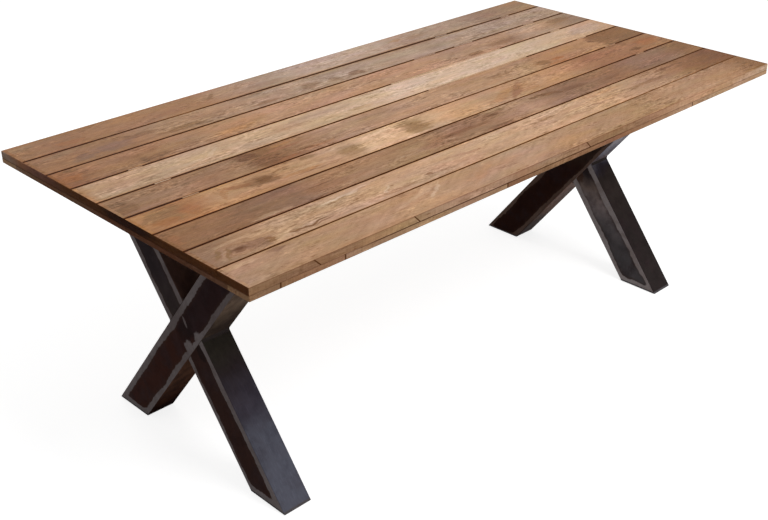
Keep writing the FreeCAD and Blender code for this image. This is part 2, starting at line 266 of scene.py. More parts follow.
class Timber(Graph):
    """A wood material whose grain runs along one axis."""

    def __init__(self, name, grain, seed=0.0, drift=0.0):
        super().__init__(name)
        self.grain = grain
        self.normal = self.add("TexCoord", {}).outputs["Normal"]
        self.start_line(seed, drift)

    def start_line(self, seed, drift):
        """Begin a grain of its own, which wanders sideways by about drift metres."""
        self.seed = seed
        self.line = self.position
        if drift:
            self.wander(drift)

    def stretched(self, along, across):
        """The grain's own coordinates: cells per metre along the grain and across it."""
        scale = [across, across, across]
        scale["XYZ".index(self.grain)] = along
        moved = self.vector("ADD", self.line, (self.seed * 1.7, self.seed * 2.3, self.seed))
        return self.vector("MULTIPLY", moved, tuple(scale))

    def grained(self, cells, detail=3.0, roughness=0.55, output="Fac"):
        """A noise drawn out along the grain."""
        return self.noise(self.stretched(*cells), detail, roughness, output=output)

    def wander(self, amount):
        """Let the grain drift sideways a little along its length."""
        drift = self.grained((1.6, 5.0), 2.0, 0.5, output="Color")
        centred = self.vector("SUBTRACT", drift, (0.5, 0.5, 0.5))
        size = [amount, amount, amount]
        size["XYZ".index(self.grain)] = 0.0
        self.line = self.vector("ADD", self.line, self.vector("MULTIPLY", centred, tuple(size)))

    def oval(self, offset, length, width):
        """Distance from a mark's middle, where 1 is its rim."""
        size = (1.0 / (length * MM), 1.0 / (width * MM), 0.0)
        return self.vector("LENGTH", self.vector("MULTIPLY", offset, size))

    def flow_round(self, knot):
        """Push the grain lines apart at a knot."""
        offset = self.vector("SUBTRACT", self.position, (knot.x * MM, knot.y * MM, 0.0))
        distance = self.oval(offset, knot.length * 3.4, knot.width * 3.6)
        pull = self.ramp(distance, 0.0, 1.0, -0.85, 0.0)
        sideways = self.vector("MULTIPLY", offset, (0.0, 1.0, 0.0))
        shift = self.add("VectorMath", {0: sideways, "Scale": pull}, operation="SCALE")
        self.line = self.vector("ADD", self.line, shift.outputs[0])

    def paint_patch(self, base, patch, feathered, fray):
        """Blend a stained or figured area into the base, with edges that fray along the grain."""
        offset = self.vector("SUBTRACT", feathered, (patch.x * MM, patch.y * MM, 0.0))
        if patch.tilt:
            offset = self.turn(offset, math.radians(-patch.tilt))
        distance = self.math("ADD", self.oval(offset, patch.length, patch.width), fray)
        mask = self.ramp(distance, 0.55, 1.05, patch.strength, 0.0)
        return self.mix(mask, base, WOOD[patch.tint])

    def paint_vein(self, base, vein):
        """A thin line that wavers across the grain."""
        sway = self.noise(self.vector("MULTIPLY", self.position, (24.0, 6.0, 0.0)), 1.0, 0.5)
        level = self.jitter(self.y, sway, vein.wave * MM)
        across = self.math("SUBTRACT", level, vein.y * MM)
        along = self.math("SUBTRACT", self.x, vein.x * MM)
        distance = self.oval(self.join(along, across, 0.0), vein.length, vein.width)
        return self.mix(self.ramp(distance, 0.4, 1.0, vein.strength, 0.0), base, WOOD[vein.tint])

    def paint_knot(self, base, knot):
        """A dark heart with rings round it."""
        offset = self.vector("SUBTRACT", self.position, (knot.x * MM, knot.y * MM, 0.0))
        distance = self.oval(offset, knot.length, knot.width)
        rough = self.noise(self.vector("MULTIPLY", self.position, (50.0, 110.0, 0.0)), 4.0, 0.65)
        distance = self.math("MULTIPLY_ADD", rough, 2.2, distance)
        heart = self.ramp(distance, 1.2, 2.3, 0.85, 0.0)
        rings = self.math("SINE", self.math("MULTIPLY", distance, 8.0))
        halo = self.math("MULTIPLY", self.ramp(distance, 1.8, 4.0, 0.6, 0.0), rings)
        base = self.mix(self.math("MAXIMUM", halo, 0.0), base, WOOD["umber"])
        return self.mix(heart, base, WOOD["bark"])

    def vary(self, base, amount, weights):
        """Scale a colour by 1 + amount, with a weight for each channel."""
        return self.vector("MULTIPLY", base, self.vector("MULTIPLY_ADD", amount, weights, WHITE))

    def blend_of(self, parts):
        """The sum of noises, each centred on zero. parts are (noise, amount)."""
        total = 0.0
        for noise, amount in parts:
            total = self.math("ADD", total, self.math("MULTIPLY_ADD", noise, amount, -amount / 2))
        return total

    def figure(self, base, contrast, sweep=0.0):
        """Clouds, streaks, growth lines, mottle and pores. Returns colour, relief and gloss.

        Fine marks come out in some areas and leave others calm.
        """
        clouds = self.grained(CLOUDS, 2.0)
        streaks = self.grained(STREAKS, 4.0, 0.62)
        grain = self.grained(GRAIN, 4.0, 0.72)
        mottle = self.grained(MOTTLE, 2.0, 0.6)
        lines = self.grained(GROWTH_LINES, 2.0, 0.6)
        activity = self.ramp(self.grained(ACTIVITY, 2.0), 0.44, 0.62, 0.32, 1.3)
        broad = self.blend_of([(clouds, 0.45), (streaks, 0.7)])
        broad = self.math("ADD", broad, self.ramp(streaks, 0.57, 0.75, 0.0, -0.13))
        fine = self.blend_of([(grain, 1.7), (mottle, 0.65), (lines, 1.0)])
        shade = self.math("MULTIPLY", self.math("MULTIPLY_ADD", fine, activity, broad), contrast)
        if sweep:
            slant = self.vector("MULTIPLY", self.turn(self.position, SWEEP_ANGLE), SWEEP)
            shade = self.math("ADD", shade, self.blend_of([(self.noise(slant, 3.0, 0.6), sweep)]))
        tint = self.vary(base, shade, SHADE_WEIGHTS)
        _, warm, pink = self.split(self.grained(WARMTH, 2.0, output="Color"))
        tint = self.vary(tint, self.blend_of([(warm, 0.45)]), WARMTH_WEIGHTS)
        tint = self.vary(tint, self.blend_of([(pink, 0.38)]), BLUSH_WEIGHTS)
        fibres = self.grained(FIBRES, 2.0, 0.6)
        tint = self.vary(tint, self.blend_of([(fibres, 0.45)]), SHADE_WEIGHTS)
        flecks = self.grained(FLECKS, 1.0, 0.5)
        tint = self.toned(tint, flecks, 0.66, 0.78, 0.9, FLECK_TINT)
        pores = self.ramp(self.grained(PORES, 1.0, 0.5), 0.6, 0.70, 0.0, 0.5)
        tint = self.mix(pores, tint, PORE_TINT, "MULTIPLY")
        dashes = self.grained(DASHES, 1.0, 0.5)
        tint = self.toned(tint, dashes, 0.67, 0.79, 0.7, PORE_TINT)
        relief = self.math("MULTIPLY_ADD", pores, -1.2, fibres)
        relief = self.math("MULTIPLY_ADD", lines, 0.8, relief)
        gloss = self.math("MULTIPLY_ADD", streaks, 0.20, 0.38)
        gloss = self.math("MULTIPLY_ADD", pores, 0.2, gloss)
        return tint, relief, gloss

    def oiled(self, tint, relief, gloss, shine=BOARD_GLOSS):
        return self.finish(
            Base_Color=tint,
            Roughness=gloss,
            Specular_IOR_Level=shine,
            bump=relief,
            bump_depth=GRAIN_DEPTH,
        )


# tones run from the near end to the far end. contrast is the figure's, at the near and the far
# end. sweep is how much slanting figure is added. On the rear boards, 1 to 3, the paler and
# greyer tones over the middle of the length are partly painted sheen.
Board = namedtuple("Board", "tones patches contrast sweep veins knots", defaults=((), ()))

BOARDS = [
    Board(
        # Painted sheen: the ash stops from -50 to 270 mm and the faint broad cream patch at 120
        # mm.
        tones=[(-950, "copper"), (-860, "nutmeg"), (-640, "copper"), (-440, "copper"),
               (-320, "fawn"), (-180, "mushroom"), (-50, "ash"), (270, "ash"), (360, "mushroom"),
               (600, "mushroom"), (760, "stone"), (950, "drab")],
        patches=[
            (-640, 462, 75, 26, "russet", 0.7), (-845, 425, 50, 18, "rust", 0.5),
            (-960, 470, 40, 22, "khaki", 0.5), (-385, 446, 34, 12, "umber", 0.7, 35),
            (-540, 425, 60, 14, "rosewood", 0.4), (-200, 430, 80, 18, "rosewood", 0.3),
            (360, 460, 40, 14, "honey", 0.6), (430, 445, 60, 20, "khaki", 0.4),
            (760, 450, 110, 30, "mauve", 0.35), (120, 440, 170, 40, "cream", 0.15),
        ],
        contrast=(0.85, 0.75),
        sweep=0.3,
    ),
    Board(
        tones=[(-740, "nutmeg"), (-560, "hazel"), (-400, "fawn"), (-150, "mushroom")],
        patches=[
            (-777, 330, 78, 30, "mauve", 0.85), (-869, 318, 38, 20, "mauve", 0.85),
            (-690, 348, 60, 16, "walnut", 0.5), (-575, 310, 80, 20, "umber", 0.8),
            (-910, 368, 60, 14, "khaki", 0.6), (-300, 305, 60, 16, "umber", 0.6),
            (-120, 325, 40, 26, "umber", 0.6), (-30, 318, 28, 20, "umber", 0.5),
            (54, 318, 40, 20, "walnut", 0.6), (385, 325, 70, 26, "stone", 0.5),
        ],
        contrast=(1.1, 1.15),
        sweep=0.2,
    ),
    Board(
        tones=[(-970, "chestnut"), (-880, "copper"), (-740, "nutmeg"), (-620, "tawny"),
               (-540, "honey"), (-350, "clay"), (220, "clay"), (350, "fawn"), (650, "fawn"),
               (750, "blush"), (850, "fawn"), (950, "stone")],
        patches=[
            (-962, 216, 34, 26, "rust", 1.0), (-945, 262, 26, 10, "umber", 0.7),
            (-760, 240, 90, 20, "chestnut", 0.4), (-735, 196, 70, 16, "umber", 0.8),
            (-630, 214, 50, 24, "nutmeg", 0.7), (-480, 202, 70, 22, "russet", 0.7),
            (-400, 235, 60, 26, "honey", 0.5), (450, 190, 44, 18, "umber", 0.7),
            (600, 205, 80, 22, "mocha", 0.7), (920, 236, 70, 22, "umber", 0.6),
        ],
        contrast=(1.05, 1.15),
        sweep=0.3,
    ),
    Board(
        tones=[(-995, "honey"), (-970, "tan"), (-900, "tan"), (-650, "wheat"), (-250, "wheat"),
               (20, "cream"), (480, "cream"), (620, "oat"), (800, "wheat"), (950, "tan")],
        patches=[
            (-400, 110, 50, 22, "straw", 0.45), (-930, 120, 50, 22, "sand", 0.4),
            (-810, 110, 36, 50, "sand", 0.45), (-680, 95, 60, 10, "cream", 0.7),
            (-630, 120, 50, 8, "cream", 0.7, 40), (-340, 108, 30, 14, "khaki", 0.35),
            (-140, 90, 60, 14, "straw", 0.6), (900, 110, 100, 40, "ash", 0.75),
        ],
        contrast=(1.0, 0.7),
        sweep=0.25,
    ),
    Board(
        tones=[(-640, "brown"), (-575, "umber"), (-520, "umber"), (-430, "brown"), (-300, "fawn"),
               (330, "sand"), (450, "hazel"), (560, "copper"), (795, "honey"), (820, "umber")],
        patches=[
            (-590, 30, 36, 22, "walnut", 0.9), (-560, -24, 60, 32, "walnut", 0.8),
            (-505, -42, 50, 10, "chestnut", 0.8), (-486, 16, 54, 9, "rosewood", 0.9),
            (-470, 40, 50, 8, "russet", 0.7), (-400, -30, 60, 8, "chestnut", 0.5),
            (-970, -10, 40, 36, "umber", 0.7), (335, -2, 60, 14, "umber", 0.6),
            (515, -16, 34, 22, "umber", 0.9), (585, -18, 32, 13, "rust", 0.9),
            (800, 14, 16, 16, "walnut", 0.9), (560, -44, 60, 8, "rust", 0.6),
        ],
        contrast=(1.25, 1.1),
        sweep=0.0,
    ),
    Board(
        tones=[(-840, "russet"), (-780, "amber"), (-650, "honey"), (-350, "tan"), (-310, "peach"),
               (-180, "peach"), (-90, "tan"), (0, "apricot"), (160, "sand"), (480, "honey"),
               (650, "rosewood"), (940, "nutmeg")],
        patches=[
            (-915, -106, 70, 46, "olive", 0.6), (-938, -132, 36, 20, "rust", 0.8),
            (-865, -118, 30, 34, "rust", 0.7), (-650, -107, 62, 29, "umber", 0.85),
            (-642, -106, 34, 17, "cocoa", 0.85), (-708, -98, 44, 10, "chestnut", 0.8, -12),
            (-478, -76, 30, 14, "olive", 0.7), (-758, -110, 46, 8, "russet", 0.8, 55),
            (-366, -116, 46, 38, "khaki", 0.85), (-136, -112, 56, 64, "khaki", 0.95),
            (-130, -104, 26, 30, "olive", 0.5), (-540, -130, 70, 10, "russet", 0.8),
            (215, -118, 70, 22, "russet", 0.6, 25), (265, -128, 60, 16, "rosewood", 0.8, 30),
            (300, -96, 60, 10, "rosewood", 0.6, 30), (325, -118, 50, 30, "russet", 0.45),
            (838, -132, 26, 12, "walnut", 1.0), (930, -110, 60, 34, "rust", 0.7),
        ],
        contrast=(0.85, 0.9),
        sweep=0.2,
        veins=[Vein(-500, -142, 130, 3, 26, "umber", 0.6),
               Vein(260, -108, 90, 3, 60, "umber", 0.6)],
    ),
    Board(
        tones=[(-850, "sienna"), (-640, "mauve"), (-530, "brown"), (-260, "drab"),
               (-120, "taupe"), (50, "taupe"), (200, "fawn"), (330, "mauve"), (600, "sienna"),
               (720, "mauve"), (850, "mauve"), (950, "umber")],
        patches=[
            (-985, -225, 24, 40, "chestnut", 0.6), (-700, -250, 40, 24, "mauve", 0.7),
            (-560, -240, 90, 26, "rosewood", 0.35), (-745, -266, 60, 9, "fawn", 0.8),
            (-150, -232, 90, 30, "rosewood", 0.4), (-60, -226, 120, 12, "walnut", 0.6),
            (-145, -243, 46, 8, "fawn", 0.7), (70, -200, 60, 12, "walnut", 0.6, 8),
            (40, -268, 80, 9, "walnut", 0.5), (300, -200, 80, 12, "walnut", 0.8, -10),
            (400, -218, 90, 14, "walnut", 0.6), (560, -240, 60, 8, "walnut", 0.6),
        ],
        contrast=(1.2, 1.15),
        sweep=0.25,
        veins=[Vein(-570, -222, 70, 3, 12, "bark", 0.6),
               Vein(20, -212, 90, 3, 50, "coffee", 0.6)],
    ),
    Board(
        tones=[(-980, "taupe"), (-870, "hazel"), (-780, "buff"), (-600, "buff"), (-60, "tan"),
               (200, "tan"), (330, "buff"), (450, "sand"), (560, "fawn"), (700, "brown"),
               (800, "umber"), (960, "walnut")],
        patches=[
            (-868, -358, 62, 26, "mauve", 0.8), (-905, -312, 60, 8, "wheat", 0.4),
            (-945, -350, 36, 7, "wheat", 0.25, 52), (-850, -318, 70, 6, "wheat", 0.4, -10),
            (-955, -340, 34, 6, "olive", 0.7, 50), (-938, -356, 34, 5, "olive", 0.7, 55),
            (-830, -363, 20, 12, "umber", 0.9), (-335, -358, 16, 7, "umber", 0.8),
            (-560, -312, 110, 4, "umber", 0.5, 8), (-766, -366, 22, 9, "umber", 0.7, -20),
            (-722, -366, 36, 10, "blush", 0.7), (-560, -306, 110, 7, "cream", 0.6, 4),
            (-470, -352, 34, 4, "cream", 0.7, 42), (-450, -372, 90, 8, "brown", 0.6),
            (-190, -330, 90, 8, "rosewood", 0.4, -8), (440, -300, 90, 10, "honey", 0.6),
            (160, -322, 40, 7, "olive", 0.7), (740, -304, 70, 9, "walnut", 0.9),
            (620, -340, 90, 9, "umber", 0.6),
        ],
        contrast=(0.9, 1.1),
        sweep=0.35,
        veins=[Vein(-725, -366, 74, 5, 44, "cocoa", 0.9),
               Vein(-685, -374, 44, 4, 30, "walnut", 0.7)],
        knots=[Knot(-906, -352, 22, 17)],
    ),
    Board(
        tones=[(-950, "fawn"), (-800, "hazel"), (-560, "sand"), (-440, "sand"), (-250, "fawn"),
               (-60, "fawn"), (60, "hazel"), (240, "drab"), (450, "drab"), (600, "hazel"),
               (850, "brown"), (960, "umber")],
        patches=[
            (-850, -404, 34, 12, "mauve", 0.7), (-940, -412, 60, 8, "wheat", 0.6),
            (-440, -424, 110, 9, "wheat", 0.6, 16), (-390, -430, 60, 6, "cream", 0.5, 35),
            (-230, -440, 80, 14, "honey", 0.4, 30), (120, -450, 90, 26, "amber", 0.3),
        ],
        contrast=(0.5, 0.95),
        sweep=0.6,
    ),
]


def tone_stops(tones):
    return [(place * MM, WOOD[name]) for place, name in tones]


def board_surface(wood, number):
    """A board's own tones, stains, veins, knots and figure, drawn in the frame's coordinates."""
    spec = BOARDS[number - 1]
    wood.start_line(number * 3.1, BOARD_DRIFT)
    for knot in spec.knots:
        wood.flow_round(knot)
    feather = wood.grained(FEATHER, 4.0, 0.65, output="Color")
    feather = wood.vector("SUBTRACT", feather, (0.5, 0.5, 0.5))
    feather = wood.vector("MULTIPLY", feather, FEATHER_REACH)
    feathered = wood.vector("ADD", wood.position, feather)
    place = wood.split(feathered)[0]
    base = wood.colour_line(place, tone_stops(spec.tones), -half_length, half_length)
    long_fray = wood.grained(LONG_FRAY, 3.0, 0.6)
    short_fray = wood.grained(SHORT_FRAY, 2.0, 0.6)
    fray = wood.blend_of([(long_fray, 0.8), (short_fray, 0.9)])
    for values in spec.patches:
        base = wood.paint_patch(base, Patch(*values), feathered, fray)
    for vein in spec.veins:
        base = wood.paint_vein(base, vein)
    for knot in spec.knots:
        base = wood.paint_knot(base, knot)
    contrast = wood.ramp(wood.x, -CONTRAST_TURN, CONTRAST_TURN, *spec.contrast)
    return wood.figure(base, contrast, spec.sweep)


def board_material(number):
    """A board with painted shade along the grooves at the edges that meet another board."""
    low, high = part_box("board_%d" % number)
    wood = Timber("board_%d_wood" % number, "X")
    tint, relief, gloss = board_surface(wood, number)
    for seam, edge in ((number - 1, high.y), (number, low.y)):
        if 1 <= seam < len(BOARDS):
            # Painted shade along the grooves beside this board.
            room = wood.apart(wood.y, edge)
            tint = groove_stain(wood, tint, room, SEAM_WIDTHS[seam - 1])
    return wood.oiled(tint, relief, gloss)


SEAM_PLACES = (-0.90, -0.50, -0.30, 0.30, 0.90)
SEAM_WIDTHS = [
    (1.30, 0.40, 1.75, 2.20, 1.20),
    (1.00, 1.10, 1.10, 1.15, 1.20),
    (1.20, 1.05, 0.90, 0.95, 1.05),
    (1.45, 1.25, 1.00, 0.75, 1.00),
    (1.50, 1.00, 0.80, 0.55, 1.15),
    (1.00, 0.80, 0.90, 0.60, 0.90),
    (1.00, 0.75, 0.90, 0.75, 0.55),
    (0.65, 0.55, 0.62, 0.55, 0.20),
]
# The painted shade along the grooves: its full and outer reach, raggedness, drift, halo and fade
# when thin.
GROOVE_SHADE_FULL = 0.0015
GROOVE_SHADE_REACH = 0.0027
GROOVE_SHADE_RAGGED = 0.0014
GROOVE_SHADE_DRIFT = 0.0026
HALO_REACH = 0.0065
HALO_TINT = (0.94, 0.71, 0.38, 1.0)
THIN_GROOVE_SHADE = 1.5


def groove_stain(wood, tint, room, widths):
    """Paint shade within a few millimetres of a groove: a dark line and a warmer, darker halo
    that carry the gap's shade onto the boards' edges.

    widths are how wide the painted shade is at SEAM_PLACES along the groove. A thin one is paler
    too.
    """
    greys = [(width / 2, width / 2, width / 2, 1.0) for width in widths]
    halves = list(zip(SEAM_PLACES, greys))
    width = wood.math("MULTIPLY", wood.colour_line(wood.x, halves, -half_length, half_length), 2.0)
    ragged = wood.noise(wood.vector("MULTIPLY", wood.position, (50.0, 200.0, 200.0)), 2.0, 0.5)
    drift = wood.noise(wood.vector("MULTIPLY", wood.position, (4.0, 9.0, 9.0)), 3.0, 0.6)
    room = wood.jitter(wood.jitter(room, ragged, GROOVE_SHADE_RAGGED), drift, GROOVE_SHADE_DRIFT)
    room = wood.math("DIVIDE", room, width)
    strength = wood.math("MINIMUM", wood.math("MULTIPLY", width, THIN_GROOVE_SHADE), 1.0)
    mask = wood.math("MULTIPLY", wood.ramp(room, GROOVE_SHADE_FULL, GROOVE_SHADE_REACH, 0.95, 0.0), strength)
    halo = wood.ramp(room, GROOVE_SHADE_FULL, HALO_REACH, 0.8, 0.0)
    return wood.mix(mask, wood.mix(halo, tint, HALO_TINT, "MULTIPLY"), WOOD["stain"])


def dress_boards():
    for number in range(1, len(BOARDS) + 1):
        dress("board_%d" % number, board_material(number))


SLIP_TONES = [(-55, "tawny"), (57, "tan"), (168, "wheat"), (282, "mushroom")]


def dress_slips():
    """The slips that close stretches of the grooves, in the tones of the boards beside them."""
    wood = Timber("slip_wood", "X", 91, STRIP_DRIFT)
    base = wood.colour_line(wood.y, tone_stops(SLIP_TONES), -half_width, half_width)
    dress("groove_slips", wood.oiled(*wood.figure(base, 0.9)))


# ---- Edge strips ----
GLUE_FULL = 0.0008
GLUE_REACH = 0.0020
GLUE_RAGGED = 0.0012
FRONT_GLUE_START = (-0.72, -0.62)
FRONT_GLUE_END = (0.18, 0.30)
REAR_GLUE = 0.6
END_GLUE = 0.5
JOINT_FULL = 0.0014
JOINT_REACH = 0.00308
SCARF_RUN = 0.019
ARRIS_FADE = (0.0022, 0.0012)
UPWARD = (0.90, 0.99)


def strip_side(wood, grain, seed, stops):
    """The colour of a strip's outer side, with tones along its length."""
    wood.grain = grain
    wood.start_line(seed, STRIP_DRIFT)
    axis = {"X": wood.x, "Y": wood.y}[grain]
    shift = wood.grained((6.0, 60.0), 3.0, 0.6)
    reach = half_length if grain == "X" else half_width
    base = wood.colour_line(wood.jitter(axis, shift, 0.10), stops, -reach, reach)
    saw_marks = wood.grained((260.0, 18.0), 2.0, 0.6)
    base = wood.vary(base, wood.blend_of([(saw_marks, 0.5)]), SHADE_WEIGHTS)
    return wood.figure(base, 0.8)


def glue_line(wood, tint, name):
    """The dark line between the upper and the lower strip.

    In front it is open over the middle of the length and closed up elsewhere.
    """
    strength = REAR_GLUE if name.startswith("rear") else END_GLUE
    if name.startswith("front"):
        fade_in = wood.ramp(wood.x, *FRONT_GLUE_START, 0.35, 1.0)
        fade_out = wood.ramp(wood.x, *FRONT_GLUE_END, 1.0, 0.45)
        strength = wood.math("MULTIPLY", fade_in, fade_out)
    level = wood.apart(wood.z, board_base)
    level = wood.jitter(level, wood.grained((7.0, 30.0), 2.0, 0.5), GLUE_RAGGED)
    mask = wood.ramp(level, GLUE_FULL, GLUE_REACH, 0.8, 0.0)
    return wood.mix(wood.math("MULTIPLY", mask, strength), tint, WOOD["stain"])


def joint_lines(wood, tint, places, run):
    """Dark joints across a long strip, which slope by run over the thickness of a board."""
    thickness = top_level - board_base
    down = wood.math("DIVIDE", wood.math("SUBTRACT", top_level, wood.z), thickness)
    sloped = wood.math("MULTIPLY_ADD", down, -run, wood.x)
    for place in places:
        distance = wood.apart(sloped, place)
        mask = wood.ramp(distance, JOINT_FULL, JOINT_REACH, 0.9, 0.0)
        tint = wood.mix(mask, tint, WOOD["peat"])
    return tint


def long_lipping_material(name, seed, stops, board_number, joints=()):
    """A lipping with the board's figure on top, a painted shadow line under the arris and its own
    tones on the side.
    """
    wood = Timber(name + "_wood", "X")
    top, _, _ = board_surface(wood, board_number)
    side, relief, gloss = strip_side(wood, "X", seed, stops)
    side = joint_lines(wood, glue_line(wood, side, name), joints, SCARF_RUN)
    upward = wood.ramp(wood.split(wood.normal)[2], *UPWARD)
    tint = wood.mix(upward, side, top)
    # Painted shadow: a dark line along the top of the side faces, just under the arris.
    arris_shadow = wood.ramp(wood.math("SUBTRACT", top_level, wood.z), *ARRIS_FADE, 0.0, 0.55)
    arris_shadow = wood.math("MULTIPLY", arris_shadow, wood.math("SUBTRACT", 1.0, upward))
    tint = wood.mix(arris_shadow, tint, WOOD["coffee"])
    return wood.oiled(tint, relief, gloss, STRIP_GLOSS)


END_SEAM_WIDTHS = (1.0, 1.0, 1.0, 0.8, 0.8)
HALF_GROOVE = 0.0015
END_UPWARD = (0.80, 0.99)
OUTER_MARGIN = (0.04, 0.05)
END_BLEND = 0.004


def end_lipping_material(name, seed, stops, top_stops):
    """A lipping across the boards' ends. The boards' tones and the painted shade of their grooves
    run out over its top, where no groove is cut.
    """
    wood = Timber(name + "_wood", "Y")
    top = wood.colour_line(wood.y, top_stops, -half_width, half_width)
    wood.grain = "X"
    wood.start_line(seed, STRIP_DRIFT)
    top, _, _ = wood.figure(top, 1.0)
    to_seam = wood.math("PINGPONG", wood.math("SUBTRACT", wood.y, first_seam), board_pitch / 2)
    margin = wood.math("SUBTRACT", half_width, wood.math("ABSOLUTE", wood.y))
    past_seams = wood.ramp(margin, *OUTER_MARGIN, 1.0, 0.0)
    room = wood.math("ADD", wood.math("SUBTRACT", to_seam, HALF_GROOVE), past_seams)
    # Painted shade where the boards' grooves would run over the top.
    top = groove_stain(wood, top, room, END_SEAM_WIDTHS)
    side, relief, gloss = strip_side(wood, "Y", seed, stops)
    side = glue_line(wood, side, name)
    upward = wood.ramp(wood.split(wood.normal)[2], *END_UPWARD)
    return wood.oiled(wood.mix(upward, side, top), relief, gloss, STRIP_GLOSS)


def edging_material(name, seed, stops, grain="X", joints=()):
    """A strip of the lower layer."""
    wood = Timber(name + "_wood", grain)
    side, relief, gloss = strip_side(wood, grain, seed, stops)
    side = joint_lines(wood, glue_line(wood, side, name), joints, 0.0)
    return wood.oiled(side, relief, gloss, STRIP_GLOSS)


FRONT_LIPPING = [
    [(-1000, "drab"), (-840, "brown")],
    [(-830, "brown"), (-700, "tawny"), (-560, "sand")],
    [(-540, "sand"), (-400, "tan"), (-330, "tan"), (-160, "tawny"), (-60, "fawn"), (60, "tawny")],
    [(260, "brown"), (380, "tawny"), (540, "apricot"), (800, "apricot"), (1000, "cream")],
]
FRONT_EDGING = [
    [(0, "brown")],
    [(-910, "brown"), (-740, "tawny")],
    [(-730, "fawn"), (-460, "sand"), (-260, "fawn")],
    [(-190, "mocha"), (0, "brown"), (200, "mocha"), (420, "tawny"), (580, "tan")],
    [(0, "tan")],
]


REAR_LIPPING = [[(0, "tawny")], [(0, "umber")], [(0, "fawn")]]
REAR_EDGING = [[(0, "sand")], [(0, "tawny")], [(0, "tan")]]


def joint_places(row, count, run):
    """Where one strip of a row ends on top and the next begins. run is how far a joint slopes."""
    names = ["%s_%d" % (row, number) for number in range(1, count)]
    return [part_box(name)[1].x - run for name in names]


def dress_row(row, seed, tone_lists, make_material, **settings):
    """Dress the strips of a row, which are numbered from 1, each with a seed of its own."""
    for index, tones in enumerate(tone_lists):
        name = "%s_%d" % (row, index + 1)
        dress(name, make_material(name, seed + index, tone_stops(tones), **settings))


def dress_long_strips():
    scarfs = joint_places("front_lipping", len(FRONT_LIPPING), SCARF_RUN)
    butts = joint_places("front_edging", len(FRONT_EDGING), 0.0)
    dress_row("front_lipping", 20, FRONT_LIPPING, long_lipping_material,
              board_number=len(BOARDS), joints=scarfs)
    dress_row("front_edging", 30, FRONT_EDGING, edging_material, joints=butts)
    dress_row("rear_lipping", 40, REAR_LIPPING, long_lipping_material, board_number=1)
    dress_row("rear_edging", 46, REAR_EDGING, edging_material)


def board_end_stops(at_near_end):
    """The boards' end tones, side by side across the table, for the end strips' top faces."""
    stops = []
    for number in range(len(BOARDS), 0, -1):
        low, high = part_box("board_%d" % number)
        tones = BOARDS[number - 1].tones
        tint = WOOD[(tones[0] if at_near_end else tones[-1])[1]]
        stops.append((low.y + END_BLEND, tint))
        stops.append((high.y - END_BLEND, tint))
    return stops


NEAR_LIPPING = [
    [(130, "peat"), (200, "bark"), (330, "plum"), (400, "rosewood"), (470, "driftwood")],
    [(0, "pitch"), (60, "peat")],
    [(-500, "bark"), (-320, "peat"), (-180, "peat"), (-120, "pitch")],
]
NEAR_EDGING = [(-500, "cedar"), (-250, "coffee"), (0, "coffee"), (150, "cedar"), (280, "walnut"),
               (380, "mauve"), (500, "driftwood")]


FAR_LIPPING = [[(0, "tawny")], [(0, "umber")], [(0, "brown")]]
FAR_EDGING = [(0, "brown")]


def dress_end_strips():
    dress_row("near_end_lipping", 50, NEAR_LIPPING, end_lipping_material,
              top_stops=board_end_stops(True))
    dress_row("far_end_lipping", 56, FAR_LIPPING, end_lipping_material,
              top_stops=board_end_stops(False))
    for index, (end, tones) in enumerate((("near", NEAR_EDGING), ("far", FAR_EDGING))):
        name = end + "_end_edging"
        dress(name, edging_material(name, 60 + index, tone_stops(tones), "Y"))


# ---- Battens and hidden strips ----
def dress_battens():
    battens = [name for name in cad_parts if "batten" in name and name != "batten_screws"]
    for index, name in enumerate(battens):
        wood = Timber(name + "_wood", "Y", 70 + index, 0.006)
        base = wood.mix(wood.grained((2.0, 30.0)), WOOD["fawn"], WOOD["wheat"])
        dress(name, wood.oiled(*wood.figure(base, 0.9)))
    # The tongues are near black: painted shade where they show at the bottom of the grooves.
    wood = Timber("tongue_wood", "X", 80)
    base = wood.mix(wood.grained((2.0, 60.0)), WOOD["chocolate"], WOOD["stain"])
    dress("board_splines", wood.oiled(*wood.figure(base, 0.6), STRIP_GLOSS))


# ---- Steel ----
STEEL = palette(
    scale=(62, 33, 26),
    dun=(57, 36, 31),
    bloom=(52, 40, 42),
    red_black=(48, 30, 30),
    black=(34, 22, 20),
    brown=(70, 44, 30),
    foot=(50, 30, 25),
    rust=(88, 56, 42),
    copper=(106, 74, 58),
    shade=(84, 70, 60),
    warm=(138, 116, 98),
    red=(88, 66, 58),
    green=(63, 58, 51),
    violet=(56, 47, 49),
    umber=(46, 40, 39),
    slate=(69, 64, 74),
    blue=(85, 86, 97),
    pale=(138, 135, 146),
    sky=(196, 186, 190),
    worn=(110, 104, 106),
    dull=(140, 129, 129),
    drab=(126, 111, 104),
    smoke=(64, 55, 52),
    rose=(136, 106, 94),
    pink=(172, 138, 124),
    dusk=(62, 49, 42),
    grey=(84, 80, 82),
    ground=(118, 109, 109),
    bright_ground=(150, 142, 142),
    brown_ground=(104, 85, 76),
    fringe=(66, 46, 36),
    bead=(70, 62, 58),
)
STEEL_GLOSS = 0.004
SCALE_MOTTLE = (0.62, 0.60, 0.62, 1.0)
SCALE_SHEEN = (1.4, 1.38, 1.42, 1.0)
GROUND_TARNISH = (0.66, 0.60, 0.58, 1.0)
GROUND_SCRATCH = (0.70, 0.68, 0.67, 1.0)
GROUND_MOTTLE = (0.66, 0.62, 0.60, 1.0)
PLAIN_MOTTLE = (0.6, 0.58, 0.58, 1.0)
BRUSHED_CELLS = (320.0, 60.0, 26.0)
SCRATCH_CELLS = (90.0, 700.0, 120.0)
SCALE_DRIFT = 0.13
SCALE_BLOOM = 0.5

